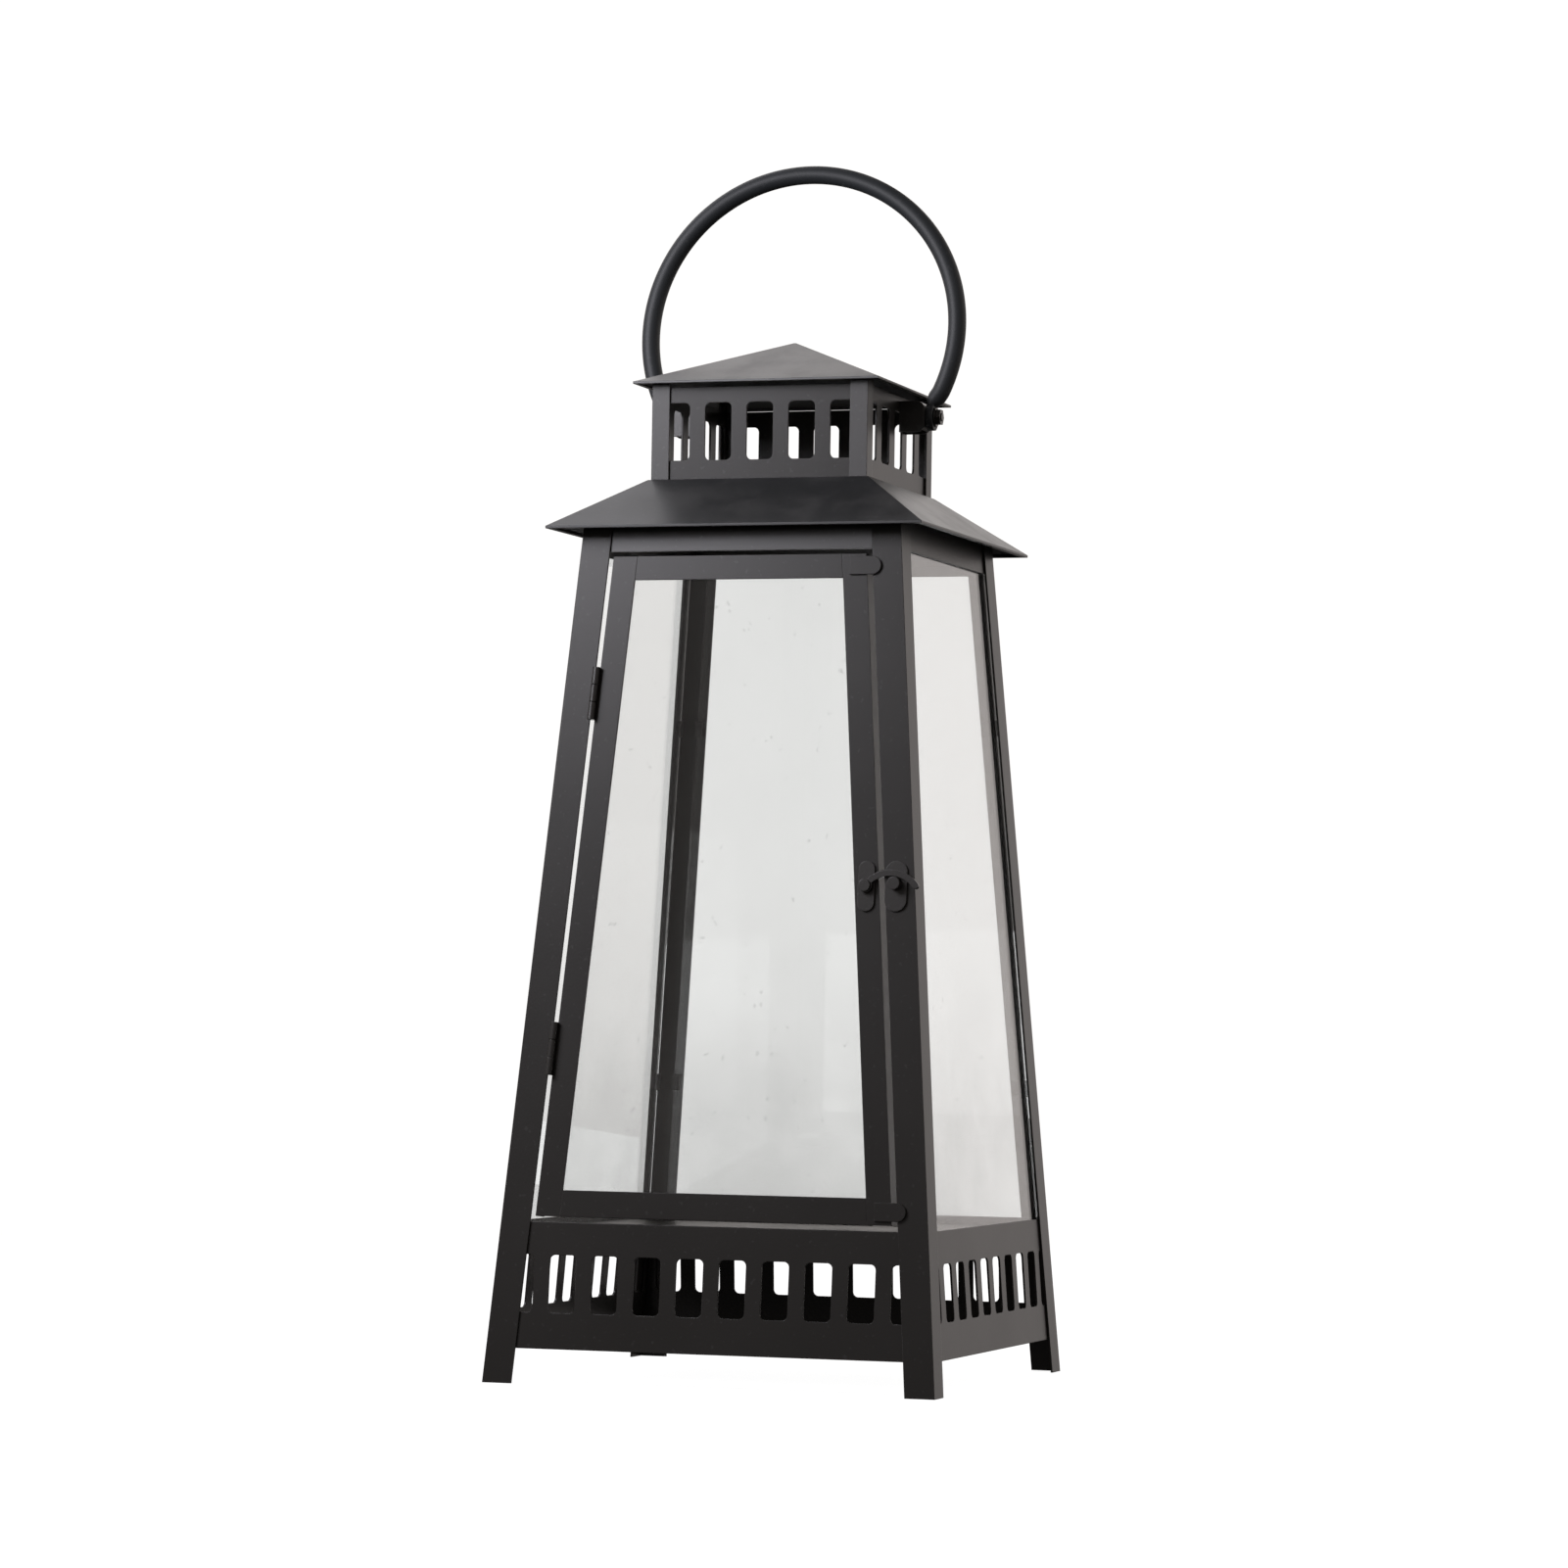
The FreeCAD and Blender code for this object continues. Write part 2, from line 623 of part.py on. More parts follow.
def build_clips():
    side_lean = math.degrees(math.atan(math.sin(LEAN)))
    heights = size("clip_upper"), size("clip_lower")
    frames = []
    for index in range(1, len(SIDES)):
        for up in heights:
            edge = post_edge(up) + size("pane_lap") + 2 * CLEAR
            depth = PANE_INSET - PANEL_INSET + size("glass") + CLEAR
            for hand in (1, -1):
                lean = turn(AXIS_Y, -hand * side_lean)
                frame = face_frame(index, PANEL_INSET) * shift(hand * edge, 0, up) * lean
                frames.append((frame, bent_clip(0, 0, depth, hand)))
    clip_group("glass_clips", frames)
    frames = []
    for up in heights:
        for hand, gap in ((1, size("door_gap_right")), (-1, value_of(DOOR_GAP_LEFT))):
            edge = post_edge(up) - gap - size("sheet") - size("clip_sheet") - CLEAR
            depth = size("glass") + CLEAR
            lean = turn(AXIS_Y, -hand * side_lean)
            frame = face_frame(0, PANEL_INSET) * shift(hand * edge, 0, up) * lean
            frames.append((frame, bent_clip(0, 0, depth, hand)))
    clip_group("door_glass_clips", frames)


def slot_plate(name, width, height, width_value, height_value, frame):
    """Plate with round ends, its back on the frame's XZ plane, standing out towards -Y."""
    thick = size("latch_plate_thickness")
    straight = height_value - width_value
    strip = box(name + "_strip", width, "dims.latch_plate_thickness", "%s - %s" % (height, width),
                frame * shift(-width_value / 2, -thick, -straight / 2))
    ends = []
    for mark, lift in (("low", -straight / 2), ("high", straight / 2)):
        ends.append(cylinder("%s_end_%s" % (name, mark), width + " / 2", "dims.latch_plate_thickness",
                             frame * shift(z=lift) * turn(AXIS_X, QUARTER_TURN)))
    return fuse(name + "_fuse", [strip] + ends)


def build_latch():
    up = size("latch_height")
    plate_out = size("latch_plate_thickness") + CLEAR
    stile_x = post_edge(up) - size("door_gap_right") - size("stile_width") / 2
    pivot = face_frame(0) * shift(stile_x, -CLEAR, up)
    catch_x = post_edge(up) + size("post_leg") - size("catch_inset")
    catch = face_frame(0) * shift(catch_x, -CLEAR, up)
    outward = turn(AXIS_X, QUARTER_TURN)

    latch_plate = slot_plate("latch_plate", "dims.latch_plate_width", "dims.latch_plate_height",
                             size("latch_plate_width"), size("latch_plate_height"), pivot)
    bore = cylinder("latch_plate_bore", "dims.rivet_radius + dims.pin_gap", "3 * dims.latch_plate_thickness",
                    pivot * shift(y=size("latch_plate_thickness")) * outward)
    keep(cut("latch_plate_cut", latch_plate, bore), "latch_plate")

    hook_out = plate_out + size("run_gap")
    hook = pivot * shift(y=-hook_out) * outward
    eye = cylinder("hook_eye", "dims.hook_eye_radius", "dims.hook_thickness", hook)
    # The arch springs from the eye's middle and ends as far below its top on the other side
    drop = size("hook_arch_radius") - size("hook_arch_rise")
    half_sweep = math.degrees(math.acos(drop / size("hook_arch_radius")))
    span = size("hook_arch_radius") * math.sin(math.radians(half_sweep))
    centre = hook * shift(span, -drop)
    arch = centre * turn(AXIS_Z, QUARTER_TURN - half_sweep)
    sweep = "2 * acos((dims.hook_arch_radius - dims.hook_arch_rise) / dims.hook_arch_radius)"
    outer = cylinder("hook_outer", "dims.hook_arch_radius + dims.hook_half_width", "dims.hook_thickness",
                     arch, sweep)
    inner = cylinder("hook_inner", "dims.hook_arch_radius - dims.hook_half_width", "dims.hook_thickness",
                     arch, sweep)
    band = cut("hook_band", outer, inner)
    tip = cylinder("hook_tip", "dims.hook_half_width", "dims.hook_thickness", hook * shift(2 * span))
    bore = cylinder("hook_bore", "dims.rivet_radius + dims.pin_gap", "dims.hook_thickness", hook)
    keep(cut("hook_cut", fuse("hook_fuse", [eye, band, tip]), bore), "latch_hook")

    head_out = hook_out + size("hook_thickness") + size("run_gap") / 2
    shank = cylinder("rivet_shank", "dims.rivet_radius",
                     "dims.latch_plate_thickness + dims.hook_thickness + 1.5 * dims.run_gap + dims.seat_gap",
                     pivot * outward)
    head = cylinder("rivet_head_disc", "dims.rivet_head_radius", "dims.rivet_head",
                    pivot * shift(y=-head_out) * outward)
    keep(fuse("rivet_fuse", [shank, head]), "latch_rivet")

    keep(slot_plate("catch_plate", "dims.catch_plate_width", "dims.latch_plate_height",
                    size("catch_plate_width"), size("latch_plate_height"), catch), "catch_plate")
    # The stud stands just clear under the arch
    reach = size("hook_arch_radius") - size("hook_half_width") - size("stud_radius") - size("run_gap")
    stud_rise = math.sqrt(reach ** 2 - (catch_x - stile_x - span) ** 2) - drop
    stud = catch * shift(y=-plate_out, z=stud_rise) * outward
    keep(cylinder("stud_post", "dims.stud_radius", "dims.stud_length", stud), "catch_stud")


def hexagon_nut(name, placement):
    body = make_body(name)
    sketch = make_sketch(body, name + "_hexagon", "XY_Plane")
    corner = "dims.nut_across / 2 / cos(180 / %d)" % NUT_SIDES
    step = 360 / NUT_SIDES
    polygon(sketch, [("%s * cos(%g)" % (corner, i * step), "%s * sin(%g)" % (corner, i * step))
                     for i in range(NUT_SIDES)])
    pad(body, sketch, "dims.nut_height")
    doc.recompute()
    bore = make_sketch(body, name + "_bore", "XY_Plane")
    bore.addGeometry(Part.Circle(V(), AXIS_Z, size("bolt_radius")), False)
    bore.addConstraint(Sketcher.Constraint("Coincident", 0, 3, -1, 1))
    ring = bore.addConstraint(Sketcher.Constraint("Radius", 0, size("bolt_radius")))
    bore.setExpression("Constraints[%d]" % ring, "dims.bolt_radius + dims.pin_gap")
    before = body.Tip.Shape.Volume
    pocket(body, bore, "dims.nut_height")
    doc.recompute()
    if body.Tip.Shape.Volume >= before:
        raise RuntimeError(name + ": the bore cuts nothing")
    return keep(body, name, placement)


def build_handle_side(index, hand):
    """Strap bracket, bolt, washer and nut on one side of the chimney."""
    frame = shift(y=size("pivot_back"), z=PIVOT_Z) * side_turn(index)
    strap = size("bracket_strap")
    body = make_body("handle_bracket_" + hand)
    sketch = make_sketch(body, "bracket_section_" + hand, "XY_Plane")
    back = "-dims.chimney_half + dims.sheet"
    front = "-dims.chimney_half - " + BRACKET_REACH
    half = "dims.bracket_width / 2"
    core = front + " + dims.bracket_strap"
    arm = half + " - dims.bracket_strap"
    polygon(sketch, [("-(%s)" % half, back), ("-(%s)" % half, front), (half, front), (half, back),
                     (arm, back), (arm, core), ("-(%s)" % arm, core), ("-(%s)" % arm, back)])
    pad(body, sketch, "dims.bracket_height", both=True)
    body.Placement = frame
    front_y = -size("chimney_half") - value_of(BRACKET_REACH)
    outward = turn(AXIS_X, QUARTER_TURN)
    cuts = [cylinder("bracket_bore_" + hand, "dims.bolt_radius + dims.pin_gap", "3 * dims.bracket_strap",
                     frame * shift(y=front_y + 2 * strap) * outward)]
    # The strap's outer corners are rounded, above and below
    side_x = -size("bracket_width") / 2
    bend = size("bracket_round")
    bend_z = size("bracket_height") / 2 - bend
    for mark, low, middle in (("top", bend_z, bend_z), ("bottom", -bend_z - bend, -bend_z)):
        name = "bracket_%s_%s" % (mark, hand)
        block = box(name + "_block", "dims.bracket_width", "dims.bracket_round", "dims.bracket_round",
                    frame * shift(side_x, front_y, low))
        round_core = cylinder(name + "_core", "dims.bracket_round", "dims.bracket_width",
                              frame * shift(side_x, front_y + bend, middle) * turn(AXIS_Y, QUARTER_TURN))
        cuts.append(cut(name + "_corner", block, round_core))
    keep(cut("bracket_cut_" + hand, body, fuse("bracket_cuts_" + hand, cuts)), "handle_bracket_" + hand)

    eye_out = front_y - size("run_gap")
    washer_out = eye_out - size("eye_thickness") - size("run_gap")
    nut_out = washer_out - size("washer_thickness") - CLEAR
    head_y = front_y + strap + CLEAR + size("bolt_head")
    reach = ("dims.bolt_head + dims.bracket_strap + dims.eye_thickness + 2 * dims.run_gap"
             " + dims.washer_thickness + dims.nut_height + dims.bolt_tail + 2 * dims.seat_gap")
    shank = cylinder("bolt_shank_" + hand, "dims.bolt_radius", reach, frame * shift(y=head_y) * outward)
    head = cylinder("bolt_cap_" + hand, "dims.bolt_head_radius", "dims.bolt_head",
                    frame * shift(y=head_y) * outward)
    keep(fuse("bolt_fuse_" + hand, [shank, head]), "handle_bolt_" + hand)
    disc = cylinder("washer_disc_" + hand, "dims.washer_radius", "dims.washer_thickness",
                    frame * shift(y=washer_out) * outward)
    hole = cylinder("washer_hole_" + hand, "dims.bolt_radius + dims.pin_gap", "dims.washer_thickness",
                    frame * shift(y=washer_out) * outward)
    keep(cut("washer_cut_" + hand, disc, hole), "handle_washer_" + hand)
    hexagon_nut("handle_nut_" + hand, frame * shift(y=nut_out) * outward)


def build_handle():
    """Round-rod ring that stops above the bolts, with a flat eye on each end, leaning back at rest."""
    frame = shift(y=size("pivot_back"), z=PIVOT_Z) * turn(AXIS_X, -size("handle_tilt"))
    eye_x = value_of(EYE_START)
    rise = value_of(HANDLE_RISE)
    end_drop = rise - size("eye_tab_height")
    end_angle = math.degrees(math.asin(end_drop / size("handle_radius")))
    ring = doc.addObject("Part::Torus", "handle_ring")
    ring.setExpression("Radius1", "dims.handle_radius")
    ring.setExpression("Radius2", "dims.handle_rod")
    ring.setExpression("Angle3", "180 deg + 2 * asin((%s - dims.eye_tab_height) / dims.handle_radius)"
                       % HANDLE_RISE)
    ring.Placement = (frame * shift(z=rise) * turn(AXIS_X, QUARTER_TURN)
                      * turn(AXIS_Z, -end_angle))
    sweep = 180 + 2 * end_angle
    neck_frames = (ring.Placement * shift(size("handle_radius")) * turn(AXIS_X, QUARTER_TURN),
                   ring.Placement * turn(AXIS_Z, sweep) * shift(size("handle_radius"))
                   * turn(AXIS_X, -QUARTER_TURN))
    pieces = [ring]
    cuts = []
    for hand, start, outward, neck_frame in (("right", eye_x, 1, neck_frames[0]),
                                             ("left", -eye_x, -1, neck_frames[1])):
        neck = doc.addObject("Part::Cone", "handle_neck_" + hand)
        neck.setExpression("Radius1", "dims.handle_rod")
        neck.setExpression("Radius2", "dims.eye_thickness / 2")
        neck.setExpression("Height", "dims.eye_tab_height")
        neck.Placement = neck_frame
        side = frame * shift(start) * turn(AXIS_Y, outward * QUARTER_TURN)
        pieces.append(neck)
        pieces.append(cylinder("eye_disc_" + hand, "dims.eye_radius", "dims.eye_thickness", side))
        cuts.append(cylinder("eye_bore_" + hand, "dims.bolt_radius + dims.pin_gap",
                             "dims.eye_thickness", side))
        # The neck ends flush with the eye's inner face
        cuts.append(cylinder("eye_back_" + hand, "dims.eye_radius", "dims.eye_thickness",
                             side * shift(z=-size("eye_thickness"))))
        # Room for the washer and nut beside the sloping neck
        cuts.append(cylinder("eye_face_" + hand, "dims.washer_radius + dims.run_gap",
                             "dims.eye_tab_height", side * shift(z=size("eye_thickness"))))
    keep(cut("handle_cut", fuse("handle_fuse", pieces), fuse("handle_cuts", cuts)), "handle")


build_posts()
build_sides()
build_roofs()
build_chimney()
build_door_frame()
build_door_tabs()
for hinge_level in ("upper", "lower"):
    build_hinge(hinge_level)
build_clips()
build_latch()
for side_index, side_name in ((1, "right"), (3, "left")):
    build_handle_side(side_index, side_name)
build_handle()
doc.recompute()

for item in doc.Objects:
    if "Invalid" in item.State or "Error" in item.State:
        raise RuntimeError("%s did not build: %s" % (item.Label, item.State))
for label, item in nodes.items():
    if item.Shape.isNull() or not item.Shape.isValid():
        raise RuntimeError(label + ": bad shape")

os.makedirs("parts", exist_ok=True)
for label, item in nodes.items():
    item.Shape.exportStep("parts/%s.step" % label)
print("%d sub-parts, pivot %.1f, eave %.1f, chimney %.1f to %.1f, cap %.1f"
      % (len(nodes), PIVOT_Z, EAVE_Z, CHIMNEY_Z, CHIMNEY_TOP, CAP_Z))
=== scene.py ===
"""Looks of the candle lantern: coats, glass, ring handle, floor, studio light and camera. Metres, +Z up."""
import json
import math
import bmesh
import bpy
from mathutils import Matrix, Vector


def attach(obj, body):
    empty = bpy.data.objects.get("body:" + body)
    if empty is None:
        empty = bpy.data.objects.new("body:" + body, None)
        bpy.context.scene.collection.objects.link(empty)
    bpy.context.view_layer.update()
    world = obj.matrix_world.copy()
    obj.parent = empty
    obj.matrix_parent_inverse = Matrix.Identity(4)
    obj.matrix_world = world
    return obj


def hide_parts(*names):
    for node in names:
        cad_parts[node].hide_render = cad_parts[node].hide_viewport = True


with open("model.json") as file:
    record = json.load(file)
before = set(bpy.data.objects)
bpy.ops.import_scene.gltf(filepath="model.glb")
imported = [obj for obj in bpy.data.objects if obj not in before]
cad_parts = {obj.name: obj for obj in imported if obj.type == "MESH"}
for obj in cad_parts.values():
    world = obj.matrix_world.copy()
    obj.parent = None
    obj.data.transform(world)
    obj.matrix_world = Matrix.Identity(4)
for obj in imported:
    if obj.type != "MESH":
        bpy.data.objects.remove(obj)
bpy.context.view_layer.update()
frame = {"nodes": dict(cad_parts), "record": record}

MM = 0.001
QUARTER_TURN = math.pi / 2

# Places of the colour sockets of a Mix node, which share their names with its other sockets
MIX_FACTOR = 0
MIX_FIRST = 6
MIX_SECOND = 7
MIX_RESULT = 2


class Level:
    """A number that varies over a surface or along a path; arithmetic on it adds Math nodes."""

    def __init__(self, tree, socket):
        self.tree = tree
        self.socket = socket

    def maths(self, operation, *terms):
        return self.tree.level("ShaderNodeMath", {"operation": operation}, dict(enumerate(terms)))

    def __add__(self, other):
        return self.maths("ADD", self, other)

    def __sub__(self, other):
        return self.maths("SUBTRACT", self, other)

    def __rsub__(self, other):
        return self.maths("SUBTRACT", other, self)

    def __mul__(self, other):
        return self.maths("MULTIPLY", self, other)

    def __truediv__(self, other):
        return self.maths("DIVIDE", self, other)

    def __rtruediv__(self, other):
        return self.maths("DIVIDE", other, self)

    def __pow__(self, other):
        return self.maths("POWER", self, other)

    def __rpow__(self, other):
        return self.maths("POWER", other, self)

    __radd__ = __add__
    __rmul__ = __mul__

    def at_least(self, other):
        return self.maths("MAXIMUM", self, other)

    def at_most(self, other):
        return self.maths("MINIMUM", self, other)

    def only(self, operation):
        """Function of this number alone, such as its sine or its size without a sign."""
        return self.maths(operation, self)


class Tree:
    """Node tree, with one call for a node of any kind."""

    def __init__(self, tree):
        self.tree = tree
        tree.nodes.clear()

    def node(self, kind, settings=None, inputs=None):
        """Node of any kind: its settings first, then the values or links of its sockets."""
        made = self.tree.nodes.new(kind)
        for key, value in (settings or {}).items():
            setattr(made, key, value)
        for key, value in (inputs or {}).items():
            source = value.socket if isinstance(value, Level) else value
            if isinstance(source, bpy.types.NodeSocket):
                self.tree.links.new(source, made.inputs[key])
            else:
                made.inputs[key].default_value = source
        return made

    def level(self, kind, settings=None, inputs=None, output=0):
        return Level(self, self.node(kind, settings, inputs).outputs[output])

    def ramp(self, value, low, high, to_low=0.0, to_high=1.0):
        """Smooth step of a value from one range to another."""
        return self.level("ShaderNodeMapRange", {"interpolation_type": "SMOOTHSTEP"},
                          {"Value": value, "From Min": low, "From Max": high,
                           "To Min": to_low, "To Max": to_high})


class Finish(Tree):
    """Node tree of one material, or of the studio's surround."""

    def __init__(self, owner, output="ShaderNodeOutputMaterial"):
        owner.use_nodes = True
        super().__init__(owner.node_tree)
        self.owner = owner
        self.output = self.tree.nodes.new(output)

    def place(self):
        return self.node("ShaderNodeTexCoord").outputs["Object"]

    def noise(self, place, scale, detail=2.0, rough=0.5):
        """Noise with its scale in waves per metre."""
        return self.level("ShaderNodeTexNoise", {}, {"Vector": place, "Scale": scale, "Detail": detail,
                                                     "Roughness": rough}, "Fac")

    def blend(self, factor, first, second):
        made = self.node("ShaderNodeMix", {"data_type": "RGBA"},
                         {MIX_FACTOR: factor, MIX_FIRST: first, MIX_SECOND: second})
        return made.outputs[MIX_RESULT]

    def close(self, shader):
        self.tree.links.new(shader.outputs[0], self.output.inputs["Surface"])
        return self.owner


def finish(name):
    return Finish(bpy.data.materials.new(name))


def grey(value, warm=0.0):
    """Opaque grey, a little warmer or cooler."""
    return (value * (1 + warm), value, value * (1 - warm), 1.0)


# Black coat: what covers it, how far, and what each layer does to its roughness
CLOUD_DARK = 0.8
CLOUD_PALE = 1.2
CLOUD_DULLS = 0.07
DUST_GREY = grey(0.22, warm=0.04)
DUST_COVER = 0.1
DUST_DULLS = 0.1
FLECK_GREY = grey(0.12)
FLECK_COVER = 0.12
RUBBED_GREY = grey(0.17, warm=0.03)
RUBBED_SHINES = 0.06
EDGE_ROUND = 0.5 * MM
EDGE_SAMPLES = 4
RELIEF_DEPTH = 0.12 * MM
RELIEF_PEEL = 0.7
RELIEF_CLOUD = 0.3


def black_coat(name, tone, roughness, shine, grain, rub, warm=0.12):
    """Black coat on steel: orange-peel grain, broad cloudiness, dust on top and rubbed edges."""
    coat = finish(name)
    place = coat.place()
    cloud = coat.noise(place, scale=16.0, detail=4.0, rough=0.6)
    peel = coat.noise(place, scale=900.0)
    fleck = coat.ramp(coat.noise(place, scale=420.0, detail=1.0), low=0.66, high=0.78)
    soft_edge = coat.node("ShaderNodeBevel", {"samples": EDGE_SAMPLES}, {"Radius": EDGE_ROUND}).outputs[0]
    true_face = coat.node("ShaderNodeNewGeometry").outputs["True Normal"]
    turned = coat.level("ShaderNodeVectorMath", {"operation": "DOT_PRODUCT"}, {0: soft_edge, 1: true_face},
                        "Value")
    worn = coat.ramp(coat.noise(place, scale=60.0, detail=3.0), low=0.42, high=0.62)
    edge = coat.ramp(turned, low=0.985, high=0.86) * worn
    up = coat.level("ShaderNodeSeparateXYZ", {}, {0: true_face}, "Z")
    settled = coat.ramp(coat.noise(place, scale=38.0, detail=5.0, rough=0.65), low=0.4, high=0.75)
    dust = coat.ramp(up, low=0.3, high=1.0) * settled
    colour = coat.blend(cloud, grey(tone * CLOUD_DARK, warm), grey(tone * CLOUD_PALE, warm))
    colour = coat.blend(dust * DUST_COVER, colour, DUST_GREY)
    colour = coat.blend(fleck * FLECK_COVER, colour, FLECK_GREY)
    colour = coat.blend(edge * rub, colour, RUBBED_GREY)
    height = peel * RELIEF_PEEL + cloud * RELIEF_CLOUD
    relief = coat.node("ShaderNodeBump", {}, {"Strength": grain, "Distance": RELIEF_DEPTH, "Height": height,
                                              "Normal": soft_edge}).outputs[0]
    dulled = roughness + cloud * CLOUD_DULLS + dust * DUST_DULLS - edge * RUBBED_SHINES
    shader = coat.node("ShaderNodeBsdfPrincipled", {}, {
        "Base Color": colour, "Roughness": dulled, "Specular IOR Level": shine, "Normal": relief})
    return coat.close(shader)


# Window glass: how far each kind of dirt covers it, and the heights between which dust gathers
SMEAR_COVER = 0.012
SPECK_COVER = 0.1
DUST_FILM_COVER = 0.085
EVEN_COVER = 0.004
DUST_TOP = 0.24
DUST_BOTTOM = 0.08
FILM_GREY = grey(0.4, warm=0.02)
FILM_ROUGHNESS = 0.7
GLASS_BEND = 1.5
GLASS_ROUGHNESS = 0.01
SMEAR_DULLS = 0.04


def window_glass(name, tint, shine):
    """Clear sheet glass with wiping smears, a few specks, and dust towards the floor."""
    glass = finish(name)
    place = glass.place()
    smear = glass.ramp(glass.noise(place, scale=9.0, detail=5.0, rough=0.6), low=0.45, high=0.75)
    speck = glass.ramp(glass.noise(place, scale=230.0, detail=1.0), low=0.74, high=0.8)
    height = glass.level("ShaderNodeSeparateXYZ", {}, {0: place}, "Z")
    patchy = glass.ramp(glass.noise(place, scale=14.0, detail=4.0), low=0.2, high=0.7)
    dust = glass.ramp(height, low=DUST_TOP, high=DUST_BOTTOM) * patchy
    dirt = smear * SMEAR_COVER + speck * SPECK_COVER + dust * DUST_FILM_COVER + EVEN_COVER
    clear = glass.node("ShaderNodeBsdfPrincipled", {}, {
        "Base Color": tint, "Roughness": smear * SMEAR_DULLS + GLASS_ROUGHNESS, "IOR": GLASS_BEND,
        "Specular IOR Level": shine, "Transmission Weight": 1.0})
    film = glass.node("ShaderNodeBsdfPrincipled", {}, {"Base Color": FILM_GREY, "Roughness": FILM_ROUGHNESS})
    shader = glass.node("ShaderNodeMixShader", {}, {0: dirt, 1: clear.outputs[0], 2: film.outputs[0]})
    return glass.close(shader)


FLOOR_GREYS = (grey(0.17), grey(0.21))
FLOOR_ROUGHNESS = 0.9
FLOOR_GLOW = 0.97


def floor_white(name):
    """Pale floor that glows enough to look white by itself."""
    white = finish(name)
    mottle = white.noise(white.place(), scale=3.0, detail=3.0)
    colour = white.blend(mottle, *FLOOR_GREYS)
    shader = white.node("ShaderNodeBsdfPrincipled", {}, {
        "Base Color": colour, "Roughness": FLOOR_ROUGHNESS, "Emission Color": grey(1.0),
        "Emission Strength": FLOOR_GLOW})
    return white.close(shader)


finishes = {
    "body_coat": black_coat("body_black_coat", tone=0.015, roughness=0.33, shine=0.41, grain=0.25, rub=0.5),
    "roof_coat": black_coat("roof_black_coat", tone=0.022, roughness=0.36, shine=0.66, grain=0.25, rub=0.5,
                            warm=-0.04),
    "hardware_coat": black_coat("hardware_black_coat", tone=0.016, roughness=0.3, shine=0.6, grain=0.35,
                                rub=0.7),
    "handle_coat": black_coat("handle_black_coat", tone=0.024, roughness=0.5, shine=0.42, grain=0.12, rub=0.6,
                              warm=-0.12),
    "clear_glass": window_glass("side_window_glass", tint=(0.918, 0.932, 0.932, 1.0), shine=0.25),
}
door_window = window_glass("door_window_glass", tint=(0.916, 0.918, 0.914, 1.0), shine=0.12)
for row in frame["record"]["subparts"]:
    for slot in frame["nodes"][row["node"]].material_slots:
        slot.material = finishes[row["material_slot"]]
for slot in frame["nodes"]["door_glass"].material_slots:
    slot.material = door_window

# Round rod bent to a ring, pressed flat at both ends into eyes for the bolts
RING_SIZES = {
    "Ring Radius": 78.4 * MM,
    "Ring Rise": 44.209 * MM,
    "Rod Radius": 4.4 * MM,
    "Eye Spread": 67.6 * MM,
    "Eye Radius": 6.5 * MM,
    "Eye Thickness": 3.4 * MM,
    "Bore Radius": 2.05 * MM,
    "Bend Start": 13.0 * MM,
    "Bend End": 5.1 * MM,
    "Lean Back": math.radians(5.8),
    "Pivot Back": 7.0 * MM,
    "Pivot Height": 463.508 * MM,
}
PATH_POINTS = 321
ROD_SIDES = 32
# Share of the path's points that lie on the ring
RING_SHARE = 0.72
# Share of the eye's radius that the path goes below the pivot, so that the end cap keeps a width
EYE_REACH = 0.995
# Heights over the pivot, in rod radii, between which the eye's width gives way to the neck's
NECK_LOW = -0.25
NECK_HIGH = 1.25
# Length of the cylinder that cuts both bores, in eye spreads
BORE_REACH = 3
SHARP_TURN = math.radians(40)


